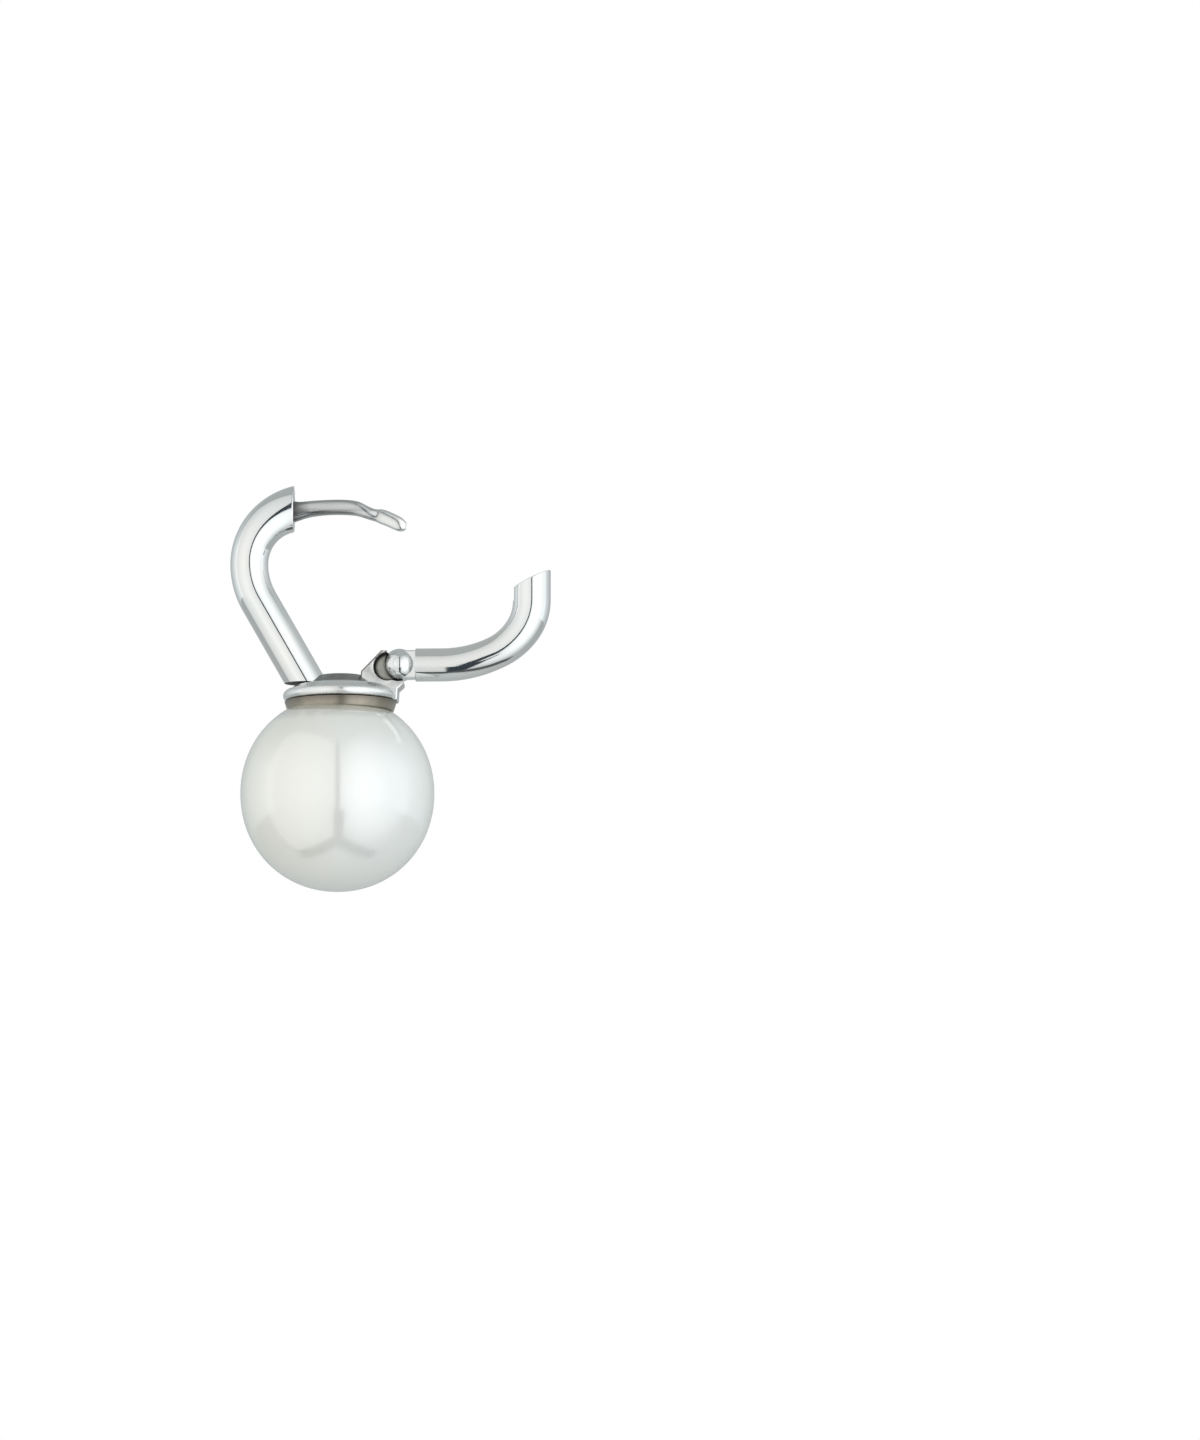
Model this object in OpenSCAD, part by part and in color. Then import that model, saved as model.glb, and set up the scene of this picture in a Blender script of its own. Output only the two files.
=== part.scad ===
// Pearl earring: a hinged hoop of polished tube over a capped pearl drop.
// The origin is the middle of the ear wire. X runs along the wire, Z points up,
// and the hoop lies in the XZ plane. The back arm is drawn hanging open.

/* [Pearl] */
// Diameter of the pearl across its equator, mm
pearl_d = 12.1; // [11:0.1:13]
// Height of the pearl, mm
pearl_h = 12.25; // [11:0.05:13.5]
// Height of the pearl's middle, mm
pearl_z = -18.05; // [-19:0.05:-17.5]
// How far the pearl sits off the cap's axis, mm
pearl_x = -0.19; // [-0.3:0.01:0.3]
// Fullness of the pearl's shoulders: 2 is a true ellipse
pearl_fullness = 2.05; // [2:0.01:2.2]

/* [Cap] */
// Diameter of the bead round the cap, mm
bead_d = 7.18; // [6.6:0.02:7.6]
// Height of the bead round the cap, mm
bead_h = 0.76; // [0.5:0.02:0.9]
// Height of the bead's middle, mm
bead_z = -11.915; // [-12.1:0.005:-11.8]
// Diameter of the flat top of the cap, mm
cap_top_d = 2.8; // [2.4:0.1:3.2]
// Height of the flat top of the cap, mm
cap_top_z = -10.64; // [-10.8:0.02:-10.5]
// Height of the cup's lower edge on the pearl, mm
cup_edge_z = -12.9; // [-13:0.02:-12.8]
// Diameter of the peg inside the pearl, mm
peg_d = 0.9; // [0.7:0.1:1.2]
// Length of the peg below the bead's middle, mm
peg_length = 4.2; // [3:0.1:5]

/* [Front arm] */
// Diameter of the arm's tube, mm
arm_d = 2.37; // [2.2:0.01:2.5]
// Height of the flared end face, mm
face_h = 2.92; // [2.6:0.02:3]
// Depth of the end face, front to back, mm
face_w = 2; // [1.9:0.05:2.4]
// Slope of the arm's straight lower part, degrees
arm_slope = 60.3; // [58:0.1:62]
// Place of the end face along the wire, mm
face_x = -2.94; // [-3.1:0.02:-2.8]

/* [Ear wire] */
// Depth of the wire front to back, mm
wire_depth = 0.92; // [0.8:0.02:1]
// Depth of the flattened catch at its tip, mm
catch_depth = 0.72; // [0.6:0.02:0.8]
// Height of the wire in the middle, mm
wire_h = 0.96; // [0.8:0.02:1]

/* [Hinge] */
// Place of the hinge axis along the wire, mm
hinge_x = 3.69; // [3.6:0.01:3.8]
// Height of the hinge axis, mm
hinge_z = -9.99; // [-10.05:0.01:-9.9]
// Diameter of the knuckle ball, mm
ball_d = 2.1; // [2:0.02:2.2]
// Thickness of the tongue inside the knuckle, mm
tongue_t = 0.6; // [0.5:0.05:0.7]
// Thickness of the flat waist between the knuckle and the back arm's tube, mm
neck_w = 1.16; // [1.1:0.02:1.3]
// Diameter of the hinge pin, mm
pin_d = 0.7; // [0.6:0.05:0.8]
// Turn of the back arm from open to closed, degrees
closing_angle = 64; // [60:1:66]

/* [Back arm] */
// Diameter of the tube next to the knuckle, mm
back_root_d = 2.07; // [2:0.01:2.1]
// Diameter of the tube at its open end, mm
back_tip_d = 2.36; // [2.2:0.01:2.5]

/* [Hidden] */

// Clearances between separate pieces
glue_gap = 0.05;
press_gap = 0.01;
running_gap = 0.04;
side_gap = 0.05;

// Fineness of the round shapes
round_fn = 96;
tube_sides = 28;
wire_sides = 20;
profile_steps = 40;

// A path is a list of rows [length, turn]: a straight has no turn, an arc turns steadily.
function walk(p, a, run, turn) =
    turn == 0
    ? p + run * [cos(a), sin(a)]
    : let (r = run / (turn * PI / 180))
      p + r * [sin(a + turn) - sin(a), cos(a) - cos(a + turn)];

// Place and heading [x, z, heading] at the distance s along a path from p with heading a
function on_path(path, s, p, a, i = 0) =
    let (run = path[i][0], turn = path[i][1])
    s <= run || i == len(path) - 1
    ? concat(walk(p, a, s, turn * s / run), [a + turn * s / run])
    : on_path(path, s - run, walk(p, a, run, turn), a + turn, i + 1);

function path_length(path, i = 0) = i == len(path) ? 0 : path[i][0] + path_length(path, i + 1);

function ease(t) = let (u = max(0, min(1, t))) u * u * (3 - 2 * u);

// One oval ring round [x, z], crossing the path at the plane angle, half sizes h and d
function ring(x, z, plane, h, d, sides) =
    [for (k = [0 : sides - 1]) let (t = 360 * (k + 0.5) / sides)
        [x + h * cos(t) * cos(plane), d * sin(t), z + h * cos(t) * sin(plane)]];

// A closed solid through rings of equal size
module through_rings(rings) {
    n = len(rings[0]);
    last = len(rings) - 1;
    walls = [for (i = [0 : last - 1], k = [0 : n - 1])
        [i * n + k, i * n + (k + 1) % n, (i + 1) * n + (k + 1) % n, (i + 1) * n + k]];
    start_cap = [for (k = [n - 1 : -1 : 0]) k];
    end_cap = [for (k = [0 : n - 1]) last * n + k];
    polyhedron([for (r = rings) each r], concat([start_cap], walls, [end_cap]), convexity = 6);
}

// The front arm climbs off the cap, rounds the ear lobe and ends in an upright face.
// Towards that face it grows taller in the side view and a little thinner in depth.
arm_foot = [face_x + 0.79, -11.1];
arm_path = [[5.98, 0], [2.46, -29.7], [4.81, -78]];
arm_rings = 44;
arm_flare_from = 8.4;
arm_pressed_from = 9.4;
face_rise = 12;

function arm_ring(i) =
    let (
        total = path_length(arm_path),
        s = total * i / arm_rings,
        at = on_path(arm_path, s, arm_foot, 180 - arm_slope),
        foot_lean = (arm_slope - 90) * (1 - ease(s / 1.6)),
        face_lean = face_rise * ease((s - total + 2.5) / 2.5),
        lean = foot_lean - face_lean,
        flare = pow(max(0, (s - arm_flare_from) / (total - arm_flare_from)), 2),
        pressed = pow(max(0, (s - arm_pressed_from) / (total - arm_pressed_from)), 2),
        half_h = (arm_d + (face_h * cos(face_rise) - arm_d) * flare) / 2,
        half_w = (arm_d + (face_w - arm_d) * pressed) / 2
    )
    ring(at[0], at[1], at[2] + 90 + lean, half_h / cos(lean), half_w, tube_sides);

// The pearl's half width at a height above its middle
function pearl_r(h, grow = 0) =
    (pearl_d / 2 + grow)
    * pow(max(0, 1 - pow(abs(h) / (pearl_h / 2 + grow), pearl_fullness)), 1 / pearl_fullness);

module pearl_body(grow = 0) {
    top = pearl_h / 2 + grow;
    side = [for (i = [0 : profile_steps]) let (h = -top * cos(180 * i / profile_steps))
        [pearl_r(h, grow), h]];
    translate([pearl_x, 0, pearl_z])
        rotate_extrude($fn = round_fn)
            polygon(side);
}

module pearl() {
    drill_d = peg_d + 2 * glue_gap;
    drill_end = bead_z - peg_length - glue_gap;
    color([0.93, 0.92, 0.88])
        difference() {
            pearl_body();
            translate([0, 0, drill_end])
                cylinder(h = cap_top_z - drill_end, d = drill_d, $fn = round_fn);
        }
}

// The cap: a low cone on a shoulder, a round bead, and a cup that hugs the pearl
module cap_body() {
    bead_r = bead_h / 2;
    bead_c = bead_d / 2 - bead_r;
    cone_foot = [2.1, -11.17];
    shoulder = [[2.6, -11.24], [2.85, -11.3], [3.02, -11.42]];
    cup_top_r = 3.5;
    cup_edge_r = 3.31;
    rotate_extrude($fn = round_fn)
        polygon([
            [0, cap_top_z],
            [cap_top_d / 2, cap_top_z],
            cone_foot,
            each shoulder,
            [bead_c, bead_z + bead_r],
            [bead_c, bead_z - bead_r],
            [cup_top_r, bead_z - bead_r],
            [cup_edge_r, cup_edge_z],
            [0, cup_edge_z]
        ]);
    translate([0, 0, bead_z])
        rotate_extrude($fn = round_fn)
            translate([bead_c, 0])
                circle(r = bead_r, $fn = 48);
}

module peg() {
    peg_end = bead_z - peg_length;
    translate([0, 0, peg_end])
        cylinder(h = cap_top_z - 0.5 - peg_end, d = peg_d, $fn = round_fn);
}

// Everything of the hinge is placed from its axis.
module at_hinge() {
    translate([hinge_x, 0, hinge_z])
        children();
}

module across(thickness) {
    rotate([90, 0, 0])
        linear_extrude(thickness, center = true)
            children();
}

// The lug carries a hollow seat round the ball and a tongue that the pin runs through.
// A second round hollow beside the ball frees the tongue.
lug_w = 1.9;
seat_r = ball_d / 2 + 0.08;
hollow_r = 0.91;
hollow_at = [-0.69, -0.18];
tongue_eye_d = 1.5;

module lug() {
    slope_foot = [-2.36, -0.46];
    slope_top = [-1.1, 0.83];
    difference() {
        across(lug_w)
            polygon([
                [-2.42, -1.2], slope_foot, slope_top, [0.26, 0.83],
                [0.26, -1.32], [-0.06, -1.62], [-0.1, -2.3], [-2.2, -2.3]
            ]);
        rotate([90, 0, 0])
            cylinder(h = lug_w + 1, r = seat_r, center = true, $fn = round_fn);
        translate([hollow_at[0], 0, hollow_at[1]])
            rotate([90, 0, 0])
                cylinder(h = lug_w + 1, r = hollow_r, center = true, $fn = round_fn);
    }
    difference() {
        union() {
            across(tongue_t)
                polygon([[-2.3, -1], slope_foot, slope_top, [-0.4, 0.68], [-0.1, -1.5], [-2, -1.5]]);
            rotate([90, 0, 0])
                cylinder(h = tongue_t, d = tongue_eye_d, center = true, $fn = round_fn);
        }
        rotate([90, 0, 0])
            cylinder(h = tongue_t + 1, d = pin_d + 2 * running_gap, center = true, $fn = round_fn);
    }
}

// The socket in the arm's face takes the root of the ear wire.
root_depth = 0.6;
root_h = 0.9;
root_w = 0.7;
root_z = -0.27;

module wire_socket() {
    translate([face_x - root_depth - glue_gap, -root_w / 2 - glue_gap, root_z - root_h / 2 - glue_gap])
        cube([root_depth + 1, root_w + 2 * glue_gap, root_h + 2 * glue_gap]);
}

module cap_and_front_arm() {
    color([0.82, 0.83, 0.85])
        difference() {
            union() {
                difference() {
                    union() {
                        cap_body();
                        at_hinge()
                            lug();
                    }
                    pearl_body(glue_gap);
                }
                peg();
                through_rings([for (i = [0 : arm_rings]) arm_ring(i)]);
            }
            wire_socket();
        }
}

// The ear wire: rows [x, z, height, depth] from its root to the notched catch at its tip
wire_rows = [
    [face_x + 0.02, -0.27, 1.34, 1.02],
    [-2.55, -0.23, 1.14, 0.98],
    [-2.1, -0.13, 1.05, 0.94],
    [-1.5, -0.06, 0.99, wire_depth],
    [-0.8, -0.01, wire_h, wire_depth],
    [0, 0, wire_h, wire_depth],
    [0.7, -0.04, 0.95, wire_depth],
    [1.15, -0.13, 0.92, wire_depth],
    [1.5, -0.29, 0.82, wire_depth],
    [1.9, -0.47, 0.76, 0.84],
    [2.28, -0.56, 0.76, catch_depth],
    [2.42, -0.58, 0.94, catch_depth],
    [2.8, -0.69, 0.97, catch_depth],
    [3.2, -0.88, 0.96, catch_depth],
    [3.6, -1.07, 0.96, catch_depth],
    [3.84, -1.18, 0.86, 0.66],
    [4.06, -1.25, 0.5, 0.5]
];

function wire_lean(i) =
    let (
        a = wire_rows[max(0, i - 1)],
        b = wire_rows[min(len(wire_rows) - 1, i + 1)]
    )
    atan2(b[1] - a[1], b[0] - a[0]);

function wire_ring(i) =
    let (row = wire_rows[i], lean = i == 0 ? 0 : wire_lean(i) / 2)
    ring(row[0], row[1], 90 + lean, row[2] / 2 * cos(lean), row[3] / 2, wire_sides);

module ear_wire() {
    color([0.66, 0.67, 0.68]) {
        through_rings([for (i = [0 : len(wire_rows) - 1]) wire_ring(i)]);
        translate([face_x - root_depth, -root_w / 2, root_z - root_h / 2])
            cube([root_depth + 0.1, root_w, root_h]);
    }
}

// The back arm runs level off the knuckle and turns up, and its end is cut so that
// the cut stands upright when the arm is closed.
back_path = [[2.67, 0], [3.53, 25.9], [2.17, 30.1], [1.94, 34], [1.33, 0]];
back_rings = 44;
back_start = 1;
cut_slope = 90 - closing_angle;

function back_ring(i) =
    let (
        total = path_length(back_path),
        s = back_start + (total - back_start) * i / back_rings,
        at = on_path(back_path, s, [0, 0], 0),
        lean = cut_slope * ease((s - total + 1.8) / 1.8),
        half = (back_root_d + (back_tip_d - back_root_d) * ease((s - 5.5) / 5)) / 2
    )
    ring(at[0], at[1], at[2] + 90 + lean, half / cos(lean), half, tube_sides);

// Outline of the pocket that the wire's tip swings into, drawn with the arm closed
pocket_w = catch_depth + 0.14;
pocket = [[2, 0.14], [2.75, 0.14], [4.28, -0.66], [4.28, -1.76], [3.5, -1.84], [2, -1.86]];

// The knuckle's slot clears the tongue all the way from open to closed.
slot_r = tongue_eye_d / 2 + 0.12;
slot_reach = 1.7;
slot_from = 50;
slot_to = 276;
slot_steps = 12;

module knuckle_slot() {
    across(tongue_t + 2 * side_gap) {
        circle(r = slot_r, $fn = round_fn);
        polygon(concat([[0, 0]], [for (i = [0 : slot_steps])
            let (a = slot_from + (slot_to - slot_from) * i / slot_steps)
            slot_reach * [cos(a), sin(a)]]));
    }
}

module back_arm() {
    neck_h = 1.76;
    color([0.8, 0.81, 0.83])
        difference() {
            union() {
                at_hinge() {
                    sphere(d = ball_d, $fn = round_fn);
                    translate([0, -neck_w / 2, -neck_h / 2])
                        cube([back_start + 0.2, neck_w, neck_h]);
                }
                at_hinge()
                    through_rings([for (i = [0 : back_rings]) back_ring(i)]);
            }
            at_hinge() {
                knuckle_slot();
                rotate([90, 0, 0])
                    cylinder(h = ball_d + 1, d = pin_d + 2 * press_gap, center = true, $fn = round_fn);
            }
            at_hinge()
                rotate([0, closing_angle, 0])
                    translate([-hinge_x, 0, -hinge_z])
                        across(pocket_w)
                            polygon(pocket);
        }
}

// The pin's ends are domed with the ball, a hair below its surface.
module hinge_pin() {
    color([0.76, 0.77, 0.79])
        at_hinge()
            intersection() {
                rotate([90, 0, 0])
                    cylinder(h = ball_d, d = pin_d, center = true, $fn = round_fn);
                sphere(d = ball_d - 0.02, $fn = round_fn);
            }
}

pearl();
cap_and_front_arm();
ear_wire();
back_arm();
hinge_pin();
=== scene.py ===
import math

import bmesh
import bpy
from mathutils import Matrix, Vector


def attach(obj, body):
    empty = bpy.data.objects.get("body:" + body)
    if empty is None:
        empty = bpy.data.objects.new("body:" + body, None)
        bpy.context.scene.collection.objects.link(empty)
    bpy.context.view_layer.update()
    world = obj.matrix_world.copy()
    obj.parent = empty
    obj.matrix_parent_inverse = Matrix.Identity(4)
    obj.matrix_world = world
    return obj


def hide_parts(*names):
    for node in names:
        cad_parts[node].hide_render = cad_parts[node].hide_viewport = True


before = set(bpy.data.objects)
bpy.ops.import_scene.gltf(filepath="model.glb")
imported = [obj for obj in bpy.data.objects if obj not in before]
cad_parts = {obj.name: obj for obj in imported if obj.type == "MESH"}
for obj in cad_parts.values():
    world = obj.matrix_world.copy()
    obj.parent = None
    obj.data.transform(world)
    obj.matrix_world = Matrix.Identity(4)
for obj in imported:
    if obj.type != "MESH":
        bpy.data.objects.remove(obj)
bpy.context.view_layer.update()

scene = bpy.context.scene
scene.view_settings.view_transform = "Standard"
scene.view_settings.look = "None"

# Every piece of the earring is shaped in millimetres and brought to metres when finished.
MM = 0.001

# A face is told by its middle, which lies within a hair of a surface, and by how much of its
# normal lies along an axis that it faces slightly, mostly or straight.
HAIR = 0.02
SLIGHTLY = 0.1
MOSTLY = 0.6
STRAIGHT = 0.9

# Pearl
PEARL_D = 12.1
PEARL_H = 12.25
PEARL_X = -0.19
PEARL_Z = -18.05
PEARL_FULLNESS = 2.05

# Cap: a low cone on a shoulder, a round bead, and a cup that narrows down over the pearl
CAP_TOP_R = 1.4
CAP_TOP_Z = -10.64
CONE_FOOT = (2.1, -11.17)
CAP_SHOULDER = ((2.6, -11.24), (2.85, -11.3), (3.02, -11.42))
BEAD_D = 7.18
BEAD_H = 0.76
BEAD_Z = -11.915
BEAD_MARGIN = 0.1
BEAD_INNER_R = 2.7
SHOULDER_RISE = 0.16
CUP_TOP_R = 3.5
CUP_EDGE_R = 3.31
CUP_EDGE_Z = -12.9
CAP_ROUNDING = 0.07

# Tubes of both arms; a path is a row of runs in millimetres, each with its turn in degrees
TUBE_RINGS = 150
TUBE_SIDES = 64
CUT_ROUNDING = 0.05

# Front arm: cut level at its foot, taller and thinner towards the upright face at its end
ARM_D = 2.37
ARM_FOOT = (-2.15, -11.1)
ARM_SLOPE = 60.3
ARM_PATH = ((5.98, 0), (2.46, -29.7), (4.81, -78))
FOOT_TURN_RUN = 1.6
FACE_H = 2.92
FACE_W = 2.0
FACE_RISE = 12
FACE_TURN_RUN = 2.5
ARM_TALLER_FROM = 8.4
ARM_THINNER_FROM = 9.4

# Hinge: a lug with a seat for the ball, a hollow beside it, and a tongue for the pin
HINGE = Vector((3.69, 0, -9.99))
AT_HINGE = (HINGE.x, HINGE.z)
BALL_D = 2.1
PIN_D = 0.7
PIN_ROOM = 0.01
LUG_W = 1.9
LUG_OUTLINE = (
    (-2.42, -1.2), (-2.36, -0.46), (-1.1, 0.83), (0.26, 0.83),
    (0.26, -1.32), (-0.06, -1.62), (-0.1, -2.3), (-2.2, -2.3),
)
LUG_ROUNDING = 0.1
LUG_REACH = 2.6
TONGUE_REACH = 1.9
SEAT_R = BALL_D / 2 + 0.08
SEAT_ROUNDING = 0.07
HOLLOW_R = 0.91
HOLLOW_AT = (HINGE.x - 0.69, HINGE.z - 0.18)
TONGUE_T = 0.6
TONGUE_EYE_R = 0.75
TONGUE_OUTLINE = (
    (-2.3, -1), (-2.36, -0.46), (-1.1, 0.83), (-0.4, 0.68), (-0.1, -1.5), (-2, -1.5),
)
CUTTER_LENGTH = 3

# Back arm: its tube starts beside the ball and ends in a face that stands upright when closed
BACK_ROOT_D = 2.07
BACK_TIP_D = 2.36
BACK_PATH = ((2.67, 0), (3.53, 25.9), (2.17, 30.1), (1.94, 34), (1.33, 0))
BACK_START = 1.0
BACK_WIDENS_FROM = 5.5
BACK_WIDENS_OVER = 5
BACK_TURN_RUN = 1.8
CLOSING_ANGLE = 64
NECK_H = 1.76
NECK_W = 1.16
NECK_OVERLAP = 0.2
NECK_ROUNDING = 0.12
SLOT_W = TONGUE_T + 0.1
SLOT_R = 1.7
SLOT_FROM = 50
SLOT_SWEEP = 226
SLOT_STEPS = 24
EYE_ROOM = 0.12
POCKET_W = 0.86
POCKET_OUTLINE = (
    (2, 0.14), (2.75, 0.14), (4.28, -0.66), (4.28, -1.76), (3.5, -1.84), (2, -1.86),
)

# Ear wire: rows of place along the wire, height of its middle, height and depth
WIRE_ROWS = (
    (-2.92, -0.27, 1.34, 1.02), (-2.55, -0.23, 1.14, 0.98), (-2.1, -0.13, 1.05, 0.94),
    (-1.5, -0.06, 0.99, 0.92), (-0.8, -0.01, 0.96, 0.92), (0, 0, 0.96, 0.92),
    (0.7, -0.04, 0.95, 0.92), (1.15, -0.13, 0.92, 0.92), (1.5, -0.29, 0.82, 0.92),
    (1.9, -0.47, 0.76, 0.84), (2.28, -0.56, 0.76, 0.72), (2.42, -0.58, 0.94, 0.72),
    (2.8, -0.69, 0.97, 0.72), (3.2, -0.88, 0.96, 0.72), (3.6, -1.07, 0.96, 0.72),
    (3.84, -1.18, 0.86, 0.66), (4.06, -1.25, 0.5, 0.5),
)
WIRE_SIDES = 24
WIRE_FULLNESS = 2.6
ROOT_CREASE = 1
TIP_CREASE = 0.5


# Places along an arm

def ease(t):
    """Goes smoothly from 0 to 1."""
    u = max(0.0, min(1.0, t))
    return u * u * (3 - 2 * u)


def growth(distance, start, end):
    """Grows from 0 at the start to 1 at the end, faster and faster."""
    return max(0.0, (distance - start) / (end - start)) ** 2


def walk(x, z, heading, run, turn):
    """The place at the end of a run that turns evenly."""
    start = math.radians(heading)
    if turn == 0:
        return x + run * math.cos(start), z + run * math.sin(start)
    end = math.radians(heading + turn)
    radius = run / math.radians(turn)
    return (
        x + radius * (math.sin(end) - math.sin(start)),
        z + radius * (math.cos(start) - math.cos(end)),
    )


def place_on(path, distance, x, z, heading):
    """Place and heading at a distance along a path of straights and arcs."""
    for index, (run, turn) in enumerate(path):
        if distance <= run or index == len(path) - 1:
            part_turn = turn * distance / run
            x, z = walk(x, z, heading, distance, part_turn)
            return x, z, heading + part_turn
        x, z = walk(x, z, heading, run, turn)
        heading += turn
        distance -= run


def length_of(path):
    return sum(run for run, turn in path)


# Mesh tools

def of_type(geometry, kind):
    return [item for item in geometry if isinstance(item, kind)]


def cross_section(x, z, plane, half_height, half_depth):
    """Carries a unit circle onto a tube's cross-section at an angle to the X axis."""
    c = math.cos(math.radians(plane))
    s = math.sin(math.radians(plane))
    return Matrix((
        (half_height * c, 0, -s, x),
        (0, half_depth, 0, 0),
        (half_height * s, 0, c, z),
        (0, 0, 0, 1),
    ))


def drawn_tube(sections, sides, fullness=2.0):
    """A closed tube drawn through its cross-sections, with the rims of its two ends."""
    bm = bmesh.new()
    bm.edges.layers.float.new("crease_edge")
    bmesh.ops.create_circle(bm, cap_ends=False, segments=sides, radius=1)
    for vert in bm.verts:
        vert.co.x = math.copysign(abs(vert.co.x) ** (2 / fullness), vert.co.x)
        vert.co.y = math.copysign(abs(vert.co.y) ** (2 / fullness), vert.co.y)
    rim = list(bm.edges)
    first_rim = rim
    place = sections[0]
    bmesh.ops.transform(bm, matrix=place, verts=bm.verts)
    for section in sections[1:]:
        drawn = bmesh.ops.extrude_edge_only(bm, edges=rim)["geom"]
        verts = of_type(drawn, bmesh.types.BMVert)
        ring = set(verts)
        rim = [edge for edge in of_type(drawn, bmesh.types.BMEdge) if set(edge.verts) <= ring]
        bmesh.ops.transform(bm, matrix=section @ place.inverted(), verts=verts)
        place = section
    bmesh.ops.contextual_create(bm, geom=first_rim)
    bmesh.ops.contextual_create(bm, geom=rim)
    bmesh.ops.recalc_face_normals(bm, faces=bm.faces)
    return bm, (first_rim, rim)


def soften(bm, edges, width, segments=3):
    bmesh.ops.bevel(
        bm, geom=edges, offset=width, offset_type="OFFSET", affect="EDGES",
        segments=segments, profile=0.5, material=-1, clamp_overlap=True,
    )


def crisp_edges(bm, angle):
    """The edges where the surface turns by more than an angle."""
    limit = math.radians(angle)
    return [edge for edge in bm.edges if edge.is_manifold and edge.calc_face_angle(0) > limit]


def slab(outline, thickness, centre=(0, 0)):
    """A plate in the XZ plane, cut to an outline and centred on Y = 0."""
    bm = bmesh.new()
    corners = [bm.verts.new((x + centre[0], -thickness / 2, z + centre[1])) for x, z in outline]
    face = bmesh.ops.contextual_create(bm, geom=corners)["faces"]
    drawn = bmesh.ops.extrude_face_region(bm, geom=face)["geom"]
    bmesh.ops.translate(bm, verts=of_type(drawn, bmesh.types.BMVert), vec=(0, thickness, 0))
    bmesh.ops.recalc_face_normals(bm, faces=bm.faces)
    return bm


def rod(centre, radius, depth, segments=64):
    """A round rod along Y."""
    bm = bmesh.new()
    place = Matrix.Translation((centre[0], 0, centre[1])) @ Matrix.Rotation(math.pi / 2, 4, "X")
    bmesh.ops.create_cone(
        bm, cap_ends=True, segments=segments, radius1=radius, radius2=radius,
        depth=depth, matrix=place,
    )
    return bm


def ball(radius):
    """The knuckle's ball, at the hinge."""
    bm = bmesh.new()
    bmesh.ops.create_uvsphere(
        bm, u_segments=96, v_segments=64, radius=radius,
        matrix=Matrix.Translation(HINGE) @ Matrix.Rotation(math.pi / 2, 4, "Y"),
    )
    return bm


def workpiece(name, bm):
    mesh = bpy.data.meshes.new(name)
    bm.to_mesh(mesh)
    bm.free()
    piece = bpy.data.objects.new(name, mesh)
    scene.collection.objects.link(piece)
    return piece


def combine(piece, tool_bm, operation):
    """Joins a shape to a piece, cuts it out or keeps what they share, and uses the shape up."""
    tool = workpiece("tool", tool_bm)
    step = piece.modifiers.new("step", "BOOLEAN")
    step.operation = operation
    step.solver = "EXACT"
    step.object = tool
    graph = bpy.context.evaluated_depsgraph_get()
    made = bpy.data.meshes.new_from_object(piece.evaluated_get(graph))
    piece.modifiers.clear()
    old = piece.data
    piece.data = made
    made.name = piece.name
    bpy.data.meshes.remove(old)
    tool_mesh = tool.data
    bpy.data.objects.remove(tool)
    bpy.data.meshes.remove(tool_mesh)


def finish_piece(piece, body, node, materials, smooth_angle=35):
    mesh = piece.data
    mesh.transform(Matrix.Scale(MM, 4))
    mesh.materials.clear()
    for material in materials:
        mesh.materials.append(material)
    mesh.shade_smooth()
    mesh.set_sharp_from_angle(angle=math.radians(smooth_angle))
    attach(piece, body)
    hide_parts(node)


# Material tools

def feed(tree, socket, value):
    """Sets a socket to a value, or links it to the output that feeds it."""
    if hasattr(value, "is_output"):
        tree.links.new(value, socket)
    elif socket.type == "RGBA":
        socket.default_value = (*value, 1)
    else:
        socket.default_value = value


def add_node(tree, kind, inputs=None, **settings):
    node = tree.nodes.new("ShaderNode" + kind)
    for name, setting in settings.items():
        setattr(node, name, setting)
    for name, value in (inputs or {}).items():
        feed(tree, node.inputs[name], value)
    return node


def new_material(name):
    material = bpy.data.materials.new(name)
    material.use_nodes = True
    return material


def dress(material, inputs):
    """Gives the material's shader its values and the outputs that feed it."""
    tree = material.node_tree
    shader = tree.nodes["Principled BSDF"]
    for name, value in inputs.items():
        feed(tree, shader.inputs[name], value)
    return material


def places(tree, stretch=(1, 1, 1)):
    """The piece's own coordinates in millimetres, stretched along each axis."""
    own = add_node(tree, "TexCoord")
    scaled = add_node(tree, "Mapping", {
        "Vector": own.outputs["Object"],
        "Scale": [times / MM for times in stretch],
    })
    return scaled.outputs["Vector"]


def noise(tree, scale, detail, stretch=(1, 1, 1)):
    pattern = add_node(tree, "TexNoise", {
        "Vector": places(tree, stretch),
        "Scale": scale,
        "Detail": detail,
    })
    return pattern.outputs["Fac"]


def along_axis(tree, axis):
    """Where the surface is along one axis of the piece, in millimetres."""
    parts = add_node(tree, "SeparateXYZ", {"Vector": places(tree)})
    return parts.outputs[axis]


def to_range(tree, value, low, high, from_low=0.3, from_high=0.7):
    """Carries one span of values onto another; unless given, it starts from the span of noise."""
    scaled = add_node(tree, "MapRange", {
        "Value": value,
        "From Min": from_low,
        "From Max": from_high,
        "To Min": low,
        "To Max": high,
    })
    return scaled.outputs["Result"]


def product(tree, first, second):
    both = add_node(tree, "Math", {0: first, 1: second}, operation="MULTIPLY")
    return both.outputs["Value"]


def mix_colour(tree, share, first, second):
    """Goes from the first colour to the second as the share goes from 0 to 1."""
    mixer = add_node(tree, "Mix", {"Factor": share, 6: first, 7: second}, data_type="RGBA")
    return mixer.outputs[2]


def clouded(tree, scale, detail, dark, light):
    """A cloudy mix of two tones."""
    return mix_colour(tree, to_range(tree, noise(tree, scale, detail), 0, 1), dark, light)


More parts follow.
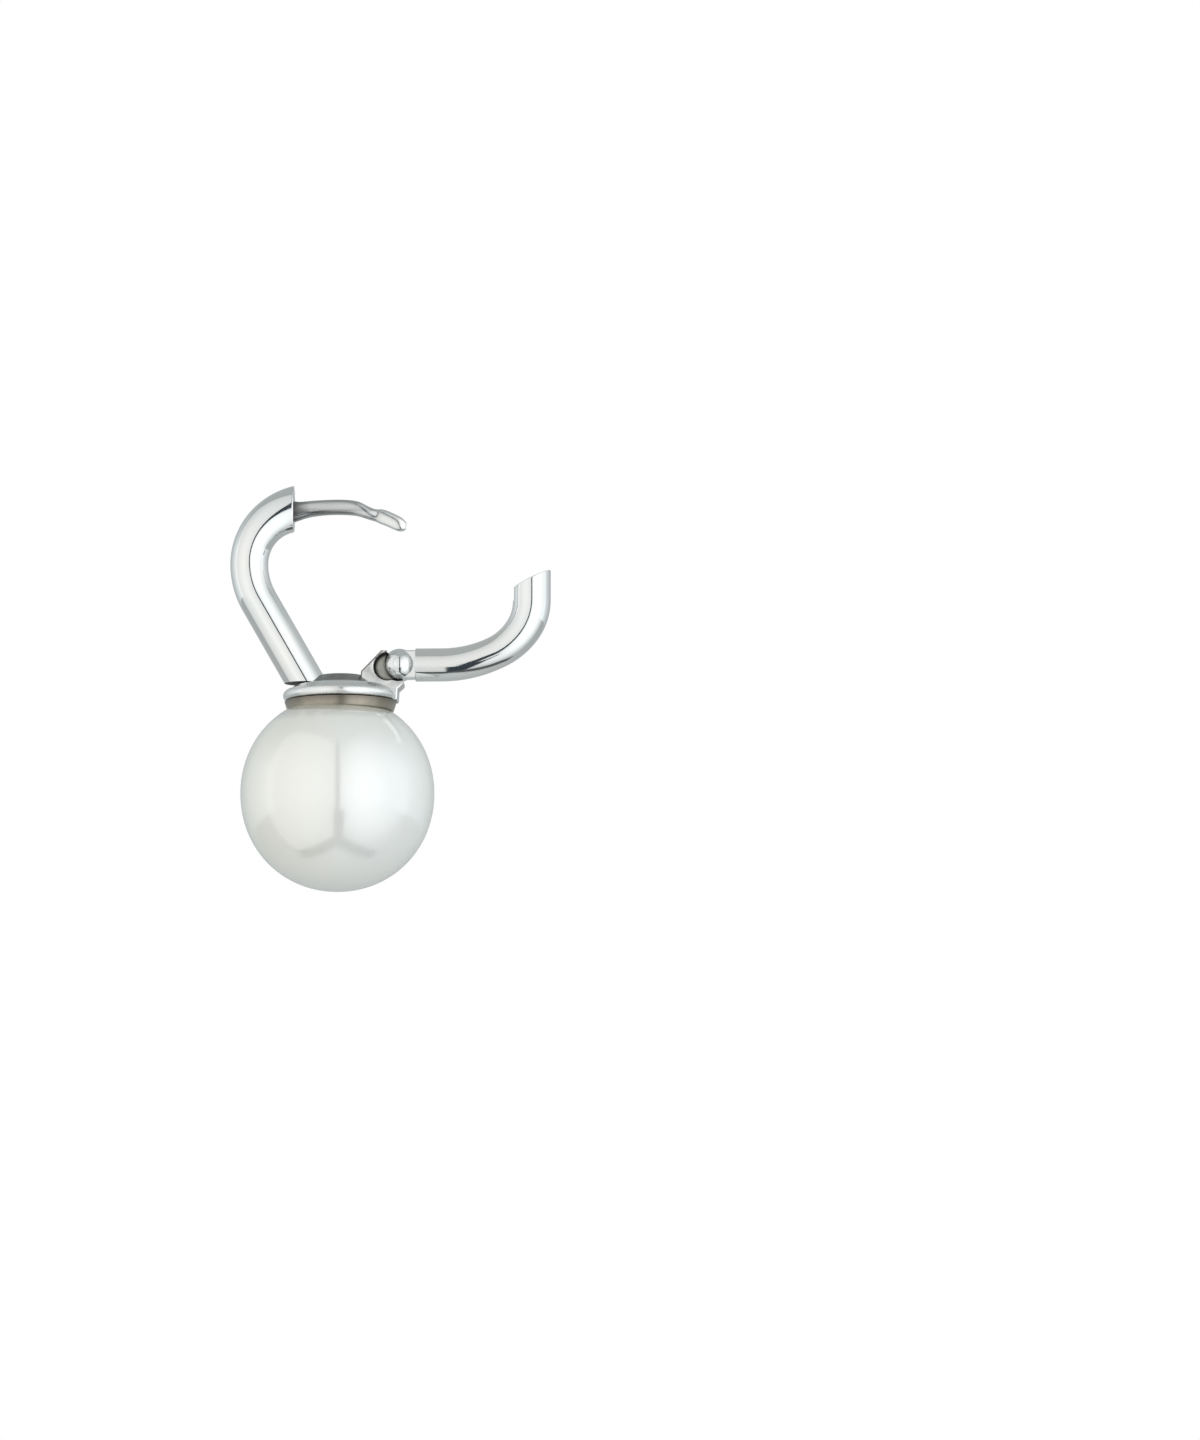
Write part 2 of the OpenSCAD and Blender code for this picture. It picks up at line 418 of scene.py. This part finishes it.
def bump(tree, height, strength):
    """A relief of up to 0.02 mm."""
    relief = add_node(tree, "Bump", {
        "Height": height,
        "Strength": strength,
        "Distance": 0.02 * MM,
    })
    return relief.outputs["Normal"]


# Finishes

def polished_white_gold(name, roughest):
    material = new_material(name)
    tree = material.node_tree
    scratches = noise(tree, 1.2, 6, stretch=(1, 1, 4))
    return dress(material, {
        "Metallic": 1,
        "Base Color": clouded(tree, 0.35, 3, (0.70, 0.72, 0.72), (0.74, 0.735, 0.725)),
        "Roughness": to_range(tree, scratches, roughest / 3, roughest, 0.35, 0.75),
        "Normal": bump(tree, noise(tree, 0.8, 1.5), 0.12),
    })


def satin_white_gold(name, dark, light):
    """Filed and brushed, not polished."""
    material = new_material(name)
    tree = material.node_tree
    file_marks = noise(tree, 6.0, 3, stretch=(1, 1, 0.2))
    return dress(material, {
        "Metallic": 1,
        "Base Color": clouded(tree, 1.1, 5, dark, light),
        "Roughness": to_range(tree, file_marks, 0.26, 0.4),
        "Normal": bump(tree, file_marks, 0.2),
    })


def unpolished_recess_painted_shade():
    """Where no polishing wheel reaches: the tongue's sides and the foot of the arm. Its roughness
    is unpolished metal; its dark colour is painted shade, going nearly black from just inside the
    edge of the hollow outwards.
    """
    material = new_material("unpolished_recess_painted_shade")
    tree = material.node_tree
    cloud = noise(tree, 2.0, 5)
    bare = mix_colour(tree, to_range(tree, cloud, 0, 1), (0.24, 0.24, 0.215), (0.42, 0.42, 0.38))
    from_hollow = add_node(tree, "VectorMath", {
        0: places(tree, stretch=(1, 0, 1)),
        1: (HOLLOW_AT[0], 0, HOLLOW_AT[1]),
    }, operation="DISTANCE").outputs["Value"]
    # Painted shade: nearly black from just inside the edge of the hollow outwards.
    painted_hollow_shade = to_range(tree, from_hollow, 0, 1, HOLLOW_R - 0.26, HOLLOW_R - 0.1)
    return dress(material, {
        "Metallic": 1,
        "Base Color": mix_colour(tree, painted_hollow_shade, bare, (0.02, 0.02, 0.018)),
        "Roughness": to_range(tree, cloud, 0.4, 0.55),
        "Normal": bump(tree, cloud, 0.3),
    })


def cup_underside():
    """The cup over the pearl, in painted shade: a dark warm tone that stands in for the shaded
    pearl it reflects, darker still just under the bead.
    """
    material = new_material("cup_underside")
    tree = material.node_tree
    # Painted reflection: a dark warm tone standing in for the pearl reflected in shade.
    painted_reflected_shade = clouded(tree, 0.9, 4, (0.31, 0.28, 0.23), (0.41, 0.375, 0.31))
    # Painted shade, darkest just under the bead.
    painted_bead_shadow = to_range(tree, along_axis(tree, "Z"), 0, 0.6, -12.7, -12.34)
    return dress(material, {
        "Metallic": 1,
        "Base Color": mix_colour(tree, painted_bead_shadow, painted_reflected_shade, (0.10, 0.09, 0.08)),
        "Roughness": 0.3,
    })


def spring_white_gold():
    """Drawn wire, darker towards its root, with a painted dark streak of shade along its lower
    side and a bright catch.
    """
    material = new_material("spring_white_gold")
    tree = material.node_tree
    grain = noise(tree, 1.6, 3, stretch=(0.12, 1, 2.4))
    along = along_axis(tree, "X")
    near_root = to_range(tree, along, 1, 0, -2.95, -1.9)
    on_catch = to_range(tree, along, 0, 1, 1.9, 2.6)
    past_root = to_range(tree, along, 0, 1, -1.9, -1.2)
    before_catch = to_range(tree, along, 1, 0, 0.3, 1.1)
    # Painted shade: a dark streak along the lower side, between the root and the catch.
    low_side = to_range(tree, along_axis(tree, "Z"), 0.4, 0, -0.27, -0.14)
    painted_low_streak = product(tree, low_side, product(tree, past_root, before_catch))
    colour = mix_colour(tree, to_range(tree, grain, 0, 1), (0.42, 0.42, 0.42), (0.66, 0.66, 0.66))
    colour = mix_colour(tree, near_root, colour, (0.16, 0.16, 0.165))
    colour = mix_colour(tree, painted_low_streak, colour, (0.2, 0.2, 0.2))
    return dress(material, {
        "Metallic": 1,
        "Base Color": mix_colour(tree, on_catch, colour, (0.74, 0.74, 0.73)),
        "Roughness": to_range(tree, grain, 0.12, 0.2),
        "Normal": bump(tree, grain, 0.2),
    })


def pearl_nacre():
    """White nacre, with painted light: a painted warm glow on one flank and a painted cool sheen
    on the other, a painted greenish sheen towards the rim, and painted shade where the cap grips
    it.
    """
    material = new_material("pearl_nacre")
    tree = material.node_tree
    cloud = noise(tree, 0.16, 2)
    fine = noise(tree, 0.5, 1)
    # Painted light: warm on the left flank and cool on the right, as the two lamps tint it.
    across = to_range(tree, along_axis(tree, "X"), 0, 1, -4.5, 4.5)
    # Painted sheen: a greenish grey towards the rim.
    rim = add_node(tree, "LayerWeight", {"Blend": 0.42}).outputs["Facing"]
    # Painted shade just below the cap.
    painted_cap_shade = to_range(tree, along_axis(tree, "Z"), 0, 0.85, -13.8, -12.9)
    colour = mix_colour(tree, across, (0.80, 0.77, 0.69), (0.73, 0.76, 0.78))
    colour = mix_colour(tree, to_range(tree, cloud, 0, 0.5), colour, (0.80, 0.79, 0.77))
    colour = mix_colour(tree, rim, colour, (0.74, 0.75, 0.69))
    return dress(material, {
        "Base Color": mix_colour(tree, painted_cap_shade, colour, (0.34, 0.33, 0.28)),
        "Roughness": to_range(tree, fine, 0.2, 0.23),
        "Subsurface Weight": 0.3,
        "Subsurface Radius": (1.0, 0.95, 0.85),
        "Subsurface Scale": 0.6 * MM,
        "IOR": 1.9,
        "Coat Weight": 1.0,
        "Coat Roughness": 0.1,
        "Coat IOR": 2.1,
        "Normal": bump(tree, fine, 0.04),
    })


METAL = polished_white_gold("polished_white_gold", roughest=0.1)
BEAD = polished_white_gold("soft_polished_bead", roughest=0.48)
FLANK = satin_white_gold("brushed_flank", dark=(0.50, 0.50, 0.49), light=(0.80, 0.80, 0.79))
# Painted shade: the drum's dark colour stands in for the shade and dark reflections on the cap's
# cone and on some faces of the lug; its brushed roughness is its own finish.
SHADED_DRUM = satin_white_gold("brushed_drum_painted_shade", dark=(0.19, 0.19, 0.19), light=(0.28, 0.28, 0.275))
SHADED_RECESS = unpolished_recess_painted_shade()
CUP = cup_underside()
WIRE = spring_white_gold()
NACRE = pearl_nacre()


# Pearl

def make_pearl():
    bm = bmesh.new()
    bmesh.ops.create_uvsphere(bm, u_segments=160, v_segments=96, radius=1)
    for vert in bm.verts:
        height = min(1.0, abs(vert.co.z))
        round_r = math.hypot(vert.co.x, vert.co.y)
        full_r = max(0.0, 1 - height ** PEARL_FULLNESS) ** (1 / PEARL_FULLNESS)
        if round_r > 1e-6:
            vert.co.x *= full_r / round_r
            vert.co.y *= full_r / round_r
    bmesh.ops.scale(bm, vec=(PEARL_D / 2, PEARL_D / 2, PEARL_H / 2), verts=bm.verts)
    bmesh.ops.translate(bm, vec=(PEARL_X, 0, PEARL_Z), verts=bm.verts)
    pearl = workpiece("pearl_nacre", bm)
    finish_piece(pearl, "front", "pearl", [NACRE], smooth_angle=180)


# Cap and front arm

def cap_shape():
    bead_r = BEAD_H / 2
    bead_c = BEAD_D / 2 - bead_r
    bm = bmesh.new()
    cone = ((0, CAP_TOP_Z), (CAP_TOP_R, CAP_TOP_Z), CONE_FOOT)
    bead_top = (bead_c, BEAD_Z + bead_r)
    verts = [bm.verts.new((r, 0, z)) for r, z in (*cone, *CAP_SHOULDER, bead_top)]
    for pair in zip(verts, verts[1:]):
        bm.edges.new(pair)
    bead = bmesh.ops.spin(
        bm, geom=[verts[-1]], cent=(bead_c, 0, BEAD_Z), axis=(0, 1, 0),
        angle=math.pi, steps=24,
    )["geom_last"]
    last = of_type(bead, bmesh.types.BMVert)[0]
    for r, z in ((CUP_TOP_R, BEAD_Z - bead_r), (CUP_EDGE_R, CUP_EDGE_Z), (0, CUP_EDGE_Z)):
        following = bm.verts.new((r, 0, z))
        bm.edges.new((last, following))
        last = following
    bmesh.ops.spin(
        bm, geom=list(bm.verts) + list(bm.edges), cent=(0, 0, 0), axis=(0, 0, 1),
        angle=2 * math.pi, steps=160, use_merge=True,
    )
    bmesh.ops.remove_doubles(bm, verts=bm.verts, dist=0.0005)
    bmesh.ops.recalc_face_normals(bm, faces=bm.faces)
    off_bead = bead_r + BEAD_MARGIN
    corners = [
        edge for edge in crisp_edges(bm, 20)
        if all(abs(vert.co.z - BEAD_Z) > off_bead for vert in edge.verts)
    ]
    soften(bm, corners, CAP_ROUNDING)
    return bm


def front_arm_sections():
    """Rings square to the arm, but level at its foot and upright at its face."""
    total = length_of(ARM_PATH)
    end_height = FACE_H * math.cos(math.radians(FACE_RISE))
    sections = []
    for i in range(TUBE_RINGS + 1):
        s = total * i / TUBE_RINGS
        x, z, heading = place_on(ARM_PATH, s, *ARM_FOOT, 180 - ARM_SLOPE)
        foot_turn = (ARM_SLOPE - 90) * (1 - ease(s / FOOT_TURN_RUN))
        face_turn = FACE_RISE * ease((s - total + FACE_TURN_RUN) / FACE_TURN_RUN)
        lean = foot_turn - face_turn
        height = ARM_D + (end_height - ARM_D) * growth(s, ARM_TALLER_FROM, total)
        depth = ARM_D + (FACE_W - ARM_D) * growth(s, ARM_THINNER_FROM, total)
        sections.append(cross_section(
            x, z, heading + 90 + lean, height / 2 / math.cos(math.radians(lean)), depth / 2,
        ))
    return sections


def off_seat(place):
    """How far a place lies off the walls of the ball's seat and of the hollow beside it."""
    from_seat = math.hypot(place.x - HINGE.x, place.z - HINGE.z) - SEAT_R
    from_hollow = math.hypot(place.x - HOLLOW_AT[0], place.z - HOLLOW_AT[1]) - HOLLOW_R
    return abs(min(from_seat, from_hollow))


def lug_shape():
    lug = workpiece("lug", slab(LUG_OUTLINE, LUG_W, AT_HINGE))
    combine(lug, rod(AT_HINGE, SEAT_R, CUTTER_LENGTH, 128), "DIFFERENCE")
    combine(lug, rod(HOLLOW_AT, HOLLOW_R, CUTTER_LENGTH, 128), "DIFFERENCE")
    bm = bmesh.new()
    bm.from_mesh(lug.data)
    bpy.data.objects.remove(lug)
    seat_edges = [
        edge for edge in crisp_edges(bm, 30)
        if all(off_seat(vert.co) < HAIR / 2 for vert in edge.verts)
    ]
    soften(bm, seat_edges, SEAT_ROUNDING, 2)
    other_edges = [
        edge for edge in crisp_edges(bm, 60)
        if all(off_seat(vert.co) > SEAT_ROUNDING + HAIR for vert in edge.verts)
    ]
    soften(bm, other_edges, LUG_ROUNDING)
    return bm


def front_finish(face):
    """The finish of one face of the cap and front arm, by its place and the way it faces; the
    dark drum and recess finishes carry painted shade.
    """
    x, y, z = face.center
    normal = face.normal
    sideways = abs(normal.y)
    out = math.hypot(x, y)
    from_hinge = math.hypot(x - HINGE.x, z - HINGE.z)
    bead_low = BEAD_Z - BEAD_H / 2
    bead_high = BEAD_Z + BEAD_H / 2
    past_bead = x > BEAD_D / 2 + HAIR
    past_cup = out > CUP_TOP_R + HAIR
    by_hinge = from_hinge < LUG_REACH and z > CONE_FOOT[1]
    on_lug = by_hinge and abs(y) < LUG_W / 2 + HAIR
    on_tongue = by_hinge and abs(y) < TONGUE_T / 2 + HAIR and from_hinge < TONGUE_REACH
    in_seat = off_seat(face.center) < SEAT_ROUNDING + HAIR / 4
    on_foot = x < 0 and abs(z - ARM_FOOT[1]) < HAIR
    on_cone = CONE_FOOT[1] < z < CAP_TOP_Z + HAIR and out < CONE_FOOT[0]
    on_bead = bead_low < z < bead_high + SHOULDER_RISE and BEAD_INNER_R < out < BEAD_D / 2 + HAIR

    if z < bead_low + HAIR:
        return SHADED_DRUM if past_cup else CUP
    if in_seat and sideways < STRAIGHT:
        return FLANK
    if on_tongue and sideways > STRAIGHT:
        return SHADED_RECESS
    if on_lug and normal.x < -SLIGHTLY and sideways > SLIGHTLY and normal.z > 0:
        return SHADED_DRUM
    if past_bead or (on_lug and normal.z < MOSTLY):
        return FLANK
    if on_foot and normal.z < -STRAIGHT:
        return SHADED_RECESS
    if on_cone and normal.z > MOSTLY:
        return SHADED_DRUM
    if on_bead:
        return BEAD
    return METAL


def make_cap_and_front_arm():
    bm, rims = drawn_tube(front_arm_sections(), TUBE_SIDES)
    soften(bm, rims[-1], CUT_ROUNDING)
    metal = workpiece("cap_and_front_arm_metal", bm)
    combine(metal, cap_shape(), "UNION")
    combine(metal, lug_shape(), "UNION")
    combine(metal, slab(TONGUE_OUTLINE, TONGUE_T, AT_HINGE), "UNION")
    combine(metal, rod(AT_HINGE, TONGUE_EYE_R, TONGUE_T), "UNION")
    finishes = [METAL, BEAD, FLANK, SHADED_DRUM, SHADED_RECESS, CUP]
    marks = [finishes.index(front_finish(face)) for face in metal.data.polygons]
    finish_piece(metal, "front", "cap_and_front_arm", finishes)
    metal.data.polygons.foreach_set("material_index", marks)


# Ear wire

def wire_sections():
    """Rings that lean half as much as the wire slopes; the first stands upright."""
    last = len(WIRE_ROWS) - 1
    sections = []
    for i, (x, z, height, depth) in enumerate(WIRE_ROWS):
        before = WIRE_ROWS[max(0, i - 1)]
        after = WIRE_ROWS[min(last, i + 1)]
        slope = 0 if i == 0 else math.atan2(after[1] - before[1], after[0] - before[0]) / 2
        sections.append(cross_section(
            x, z, 90 + math.degrees(slope), height / 2 * math.cos(slope), depth / 2,
        ))
    return sections


def make_ear_wire():
    bm, rims = drawn_tube(wire_sections(), WIRE_SIDES, WIRE_FULLNESS)
    crease = bm.edges.layers.float["crease_edge"]
    for rim, sharpness in zip(rims, (ROOT_CREASE, TIP_CREASE)):
        for edge in rim:
            edge[crease] = sharpness
    wire = workpiece("ear_wire_spring", bm)
    rounding = wire.modifiers.new("rounding", "SUBSURF")
    rounding.levels = 2
    rounding.render_levels = 2
    finish_piece(wire, "front", "ear_wire", [WIRE])


# Back arm, its knuckle ball and its pin

def back_arm_sections():
    """Rings square to the arm, but the last stands upright when the hoop is closed."""
    total = length_of(BACK_PATH)
    sections = []
    for i in range(TUBE_RINGS + 1):
        s = BACK_START + (total - BACK_START) * i / TUBE_RINGS
        x, z, heading = place_on(BACK_PATH, s, 0, 0, 0)
        lean = (90 - CLOSING_ANGLE) * ease((s - total + BACK_TURN_RUN) / BACK_TURN_RUN)
        widening = ease((s - BACK_WIDENS_FROM) / BACK_WIDENS_OVER)
        half = (BACK_ROOT_D + (BACK_TIP_D - BACK_ROOT_D) * widening) / 2
        sections.append(cross_section(
            x + HINGE.x, z + HINGE.z, heading + 90 + lean,
            half / math.cos(math.radians(lean)), half,
        ))
    return sections


def neck_shape():
    """The flat waist that joins the ball to the tube."""
    length = BACK_START + NECK_OVERLAP
    outline = ((0, -NECK_H / 2), (length, -NECK_H / 2), (length, NECK_H / 2), (0, NECK_H / 2))
    bm = slab(outline, NECK_W, AT_HINGE)
    along = [
        edge for edge in crisp_edges(bm, 60)
        if abs(edge.verts[0].co.x - edge.verts[1].co.x) > length / 2
    ]
    soften(bm, along, NECK_ROUNDING)
    return bm


def slot_shape():
    """The sector of the ball that the tongue sweeps as the arm turns."""
    outline = [(0, 0)]
    for i in range(SLOT_STEPS + 1):
        angle = math.radians(SLOT_FROM + SLOT_SWEEP * i / SLOT_STEPS)
        outline.append((SLOT_R * math.cos(angle), SLOT_R * math.sin(angle)))
    return slab(outline, SLOT_W, AT_HINGE)


def pocket_shape():
    """Room for the wire's tip, drawn around it closed and turned back to open."""
    bm = slab(POCKET_OUTLINE, POCKET_W)
    opened = (
        Matrix.Translation(HINGE)
        @ Matrix.Rotation(math.radians(CLOSING_ANGLE), 4, "Y")
        @ Matrix.Translation(-HINGE)
    )
    bmesh.ops.transform(bm, matrix=opened, verts=bm.verts)
    return bm


def make_back_arm():
    bm, rims = drawn_tube(back_arm_sections(), TUBE_SIDES)
    soften(bm, rims[0] + rims[-1], CUT_ROUNDING)
    metal = workpiece("back_arm_metal", bm)
    combine(metal, neck_shape(), "UNION")
    combine(metal, ball(BALL_D / 2), "UNION")
    combine(metal, slot_shape(), "DIFFERENCE")
    combine(metal, rod(AT_HINGE, TONGUE_EYE_R + EYE_ROOM, SLOT_W), "DIFFERENCE")
    combine(metal, rod(AT_HINGE, PIN_D / 2 + PIN_ROOM, CUTTER_LENGTH), "DIFFERENCE")
    combine(metal, pocket_shape(), "DIFFERENCE")
    finish_piece(metal, "back", "back_arm", [METAL])


def make_pin():
    """The pin, its ends rounded off with the ball."""
    pin = workpiece("hinge_pin_metal", rod(AT_HINGE, PIN_D / 2, BALL_D))
    combine(pin, ball(BALL_D / 2 - PIN_ROOM), "INTERSECT")
    finish_piece(pin, "back", "hinge_pin", [METAL])


make_pearl()
make_cap_and_front_arm()
make_ear_wire()
make_back_arm()
make_pin()


# Camera: straight on, from a little below and a touch to the right

PICTURE_W = 1200
PICTURE_H = 1440
PIXELS_PER_MM = 16
ORIGIN_PX = (341, 507.2)
CAMERA_AZIMUTH = math.radians(3)
CAMERA_ELEVATION = math.radians(-7.5)
FOCAL = 400
SENSOR = 36


def make_camera():
    forward = Vector((
        -math.sin(CAMERA_AZIMUTH) * math.cos(CAMERA_ELEVATION),
        math.cos(CAMERA_AZIMUTH) * math.cos(CAMERA_ELEVATION),
        -math.sin(CAMERA_ELEVATION),
    ))
    right = Vector((math.cos(CAMERA_AZIMUTH), math.sin(CAMERA_AZIMUTH), 0))
    up = right.cross(forward)
    across = (PICTURE_W / 2 - ORIGIN_PX[0]) / PIXELS_PER_MM
    down = (PICTURE_H / 2 - ORIGIN_PX[1]) / PIXELS_PER_MM
    aim = (right * across - up * down) * MM
    distance = PICTURE_H / PIXELS_PER_MM * MM * FOCAL / SENSOR
    data = bpy.data.cameras.new("camera")
    data.lens = FOCAL
    data.sensor_width = SENSOR
    data.clip_start = 0.05
    data.clip_end = 20
    camera = bpy.data.objects.new("camera", data)
    turned = Matrix((right, up, -forward)).transposed().to_4x4()
    camera.matrix_world = Matrix.Translation(aim - forward * distance) @ turned
    scene.collection.objects.link(camera)
    scene.camera = camera


# Studio, in metres and degrees: two tall soft boxes, dark cards before and below the gap between
# them, a dark mat under each box, a pale floor, and air that is white to the camera alone

MIDDLE = Vector((0.002, 0, -0.013))
GAP_AT = 4.0
GAP_HALF = 3.0
BOX_SPREAD = 46
BOX_DISTANCE = 0.5
BOX_W = 2 * BOX_DISTANCE * math.tan(math.radians(BOX_SPREAD))
BOX_LOW = -0.98
BOX_HIGH = 0.89
BOX_LEFT_AT = GAP_AT - GAP_HALF - BOX_SPREAD
BOX_RIGHT_AT = GAP_AT + GAP_HALF + BOX_SPREAD
GLOW_MIDDLE = 1.2
GLOW_FLATNESS = 1.3
GLOW_FADES = (0.05, 0.6)
CARD_DARK = (0.05, 0.065, 0.08)
MAT_DARK = (0.12, 0.13, 0.13)
MAT_DISTANCE = 0.395
MAT_DEPTH = 0.21
FLOOR_Z = -1.05
FLOOR_HALF = 4
AIR_BEFORE = (0.58, 0.60, 0.60)
AIR_BESIDE = (1.0, 1.06, 1.08)
AIR_BEHIND = (0.50, 0.53, 0.54)
AIR_ABOVE = (0.52, 0.55, 0.55)


def towards(azimuth):
    """The level direction from the earring towards an azimuth."""
    turn = math.radians(azimuth)
    return Vector((math.sin(turn), -math.cos(turn), 0))


def soft_box(name, azimuth, brightness, colour, middle, rim_glow):
    """A tall panel that faces the earring, brighter in its middle than at its rim."""
    away = towards(azimuth)
    data = bpy.data.lights.new(name, "AREA")
    data.shape = "RECTANGLE"
    data.size = BOX_W
    data.size_y = BOX_HIGH - BOX_LOW
    data.energy = brightness * math.pi * data.size * data.size_y
    data.color = colour
    data.use_nodes = True
    tree = data.node_tree
    spot = add_node(tree, "NewGeometry").outputs["Parametric"]
    centred = add_node(tree, "VectorMath", {0: spot, 1: (*middle, 0)}, operation="SUBTRACT")
    squeezed = add_node(tree, "VectorMath", {
        0: centred.outputs["Vector"],
        1: (1, GLOW_FLATNESS, 0),
    }, operation="MULTIPLY")
    reach = add_node(tree, "VectorMath", {0: squeezed.outputs["Vector"]}, operation="LENGTH")
    glow = to_range(tree, reach.outputs["Value"], GLOW_MIDDLE, rim_glow, *GLOW_FADES)
    feed(tree, tree.nodes["Emission"].inputs["Strength"], glow)
    light = bpy.data.objects.new(name, data)
    place = MIDDLE + away * BOX_DISTANCE + Vector((0, 0, (BOX_HIGH + BOX_LOW) / 2))
    turned = away.to_track_quat("Z", "Y").to_matrix().to_4x4()
    light.matrix_world = Matrix.Translation(place) @ turned
    light.visible_camera = False
    scene.collection.objects.link(light)


def dark_card(name, place, width, length, tone):
    """A flat card of one even tone, seen only in reflections."""
    bm = bmesh.new()
    bmesh.ops.create_grid(bm, x_segments=1, y_segments=1, size=0.5)
    bmesh.ops.scale(bm, vec=(width, length, 1), verts=bm.verts)
    bmesh.ops.transform(bm, matrix=place, verts=bm.verts)
    piece = workpiece(name, bm)
    piece.data.materials.append(dress(new_material(name), {
        "Base Color": (0, 0, 0),
        "Specular IOR Level": 0,
        "Emission Color": tone,
        "Emission Strength": 1,
    }))
    piece.visible_camera = False


def gap_card(name, distance, left, right, low, high):
    """An upright dark card before the gap, its edges given as angles seen from the earring."""
    turn = math.radians(GAP_AT)
    away = towards(GAP_AT)
    across = Vector((math.cos(turn), math.sin(turn), 0))
    left_edge, right_edge, bottom, top = (
        distance * math.tan(math.radians(angle))
        for angle in (left - GAP_AT, right - GAP_AT, low, high)
    )
    middle = MIDDLE + away * distance + across * (left_edge + right_edge) / 2
    middle.z += (bottom + top) / 2
    upright = Matrix.Rotation(turn, 4, "Z") @ Matrix.Rotation(math.pi / 2, 4, "X")
    place = Matrix.Translation(middle) @ upright
    dark_card(name, place, right_edge - left_edge, top - bottom, CARD_DARK)


def low_mat(name, azimuth):
    """A dark mat that lies level below a soft box, in front of it."""
    place = MIDDLE + towards(azimuth) * MAT_DISTANCE + Vector((0, 0, BOX_LOW))
    turned = Matrix.Rotation(math.radians(azimuth), 4, "Z")
    dark_card(name, Matrix.Translation(place) @ turned, BOX_W, MAT_DEPTH, MAT_DARK)


def make_floor():
    bm = bmesh.new()
    bmesh.ops.create_grid(bm, x_segments=2, y_segments=2, size=FLOOR_HALF)
    bmesh.ops.translate(bm, vec=(0, 0, FLOOR_Z), verts=bm.verts)
    floor = workpiece("floor", bm)
    floor.data.materials.append(dress(new_material("pale_floor"), {
        "Base Color": (0.9, 0.9, 0.9),
        "Roughness": 0.8,
    }))


def make_air():
    """White to the camera; in reflections grey before and behind, pale beside, grey above."""
    world = bpy.data.worlds.new("studio_air")
    scene.world = world
    world.use_nodes = True
    tree = world.node_tree
    tree.nodes.clear()
    direction = add_node(tree, "TexCoord").outputs["Generated"]
    parts = add_node(tree, "SeparateXYZ", {"Vector": direction}).outputs
    round_about = add_node(tree, "ValToRGB", {"Fac": to_range(tree, parts["Y"], 0, 1, -1, 1)})
    ramp = round_about.color_ramp
    before, behind = ramp.elements
    before.position = 0.35
    behind.position = 0.95
    before.color = (*AIR_BEFORE, 1)
    behind.color = (*AIR_BEHIND, 1)
    beside = ramp.elements.new(0.55)
    beside.color = (*AIR_BESIDE, 1)
    above = to_range(tree, parts["Z"], 0, 1, 0.3, 0.75)
    tone = mix_colour(tree, above, round_about.outputs["Color"], AIR_ABOVE)
    air = add_node(tree, "Background", {"Color": tone})
    white = add_node(tree, "Background", {"Color": (1, 1, 1)})
    seen = add_node(tree, "LightPath").outputs["Is Camera Ray"]
    both = add_node(tree, "MixShader", {
        "Fac": seen,
        1: air.outputs["Background"],
        2: white.outputs["Background"],
    })
    add_node(tree, "OutputWorld", {"Surface": both.outputs["Shader"]})


make_camera()
soft_box(
    "soft_box_left", BOX_LEFT_AT, brightness=0.55, colour=(1, 0.985, 0.95),
    middle=(0.6, 0.5), rim_glow=0.6,
)
soft_box(
    "soft_box_right", BOX_RIGHT_AT, brightness=1.0, colour=(0.97, 0.99, 1),
    middle=(0.37, 0.5), rim_glow=0.15,
)
gap_card(
    "gap_card", distance=0.46, left=GAP_AT - GAP_HALF, right=GAP_AT + GAP_HALF,
    low=-54, high=52,
)
gap_card("low_card", distance=0.45, left=-2, right=13, low=-57, high=-24)
low_mat("mat_left", BOX_LEFT_AT)
low_mat("mat_right", BOX_RIGHT_AT)
make_floor()
make_air()
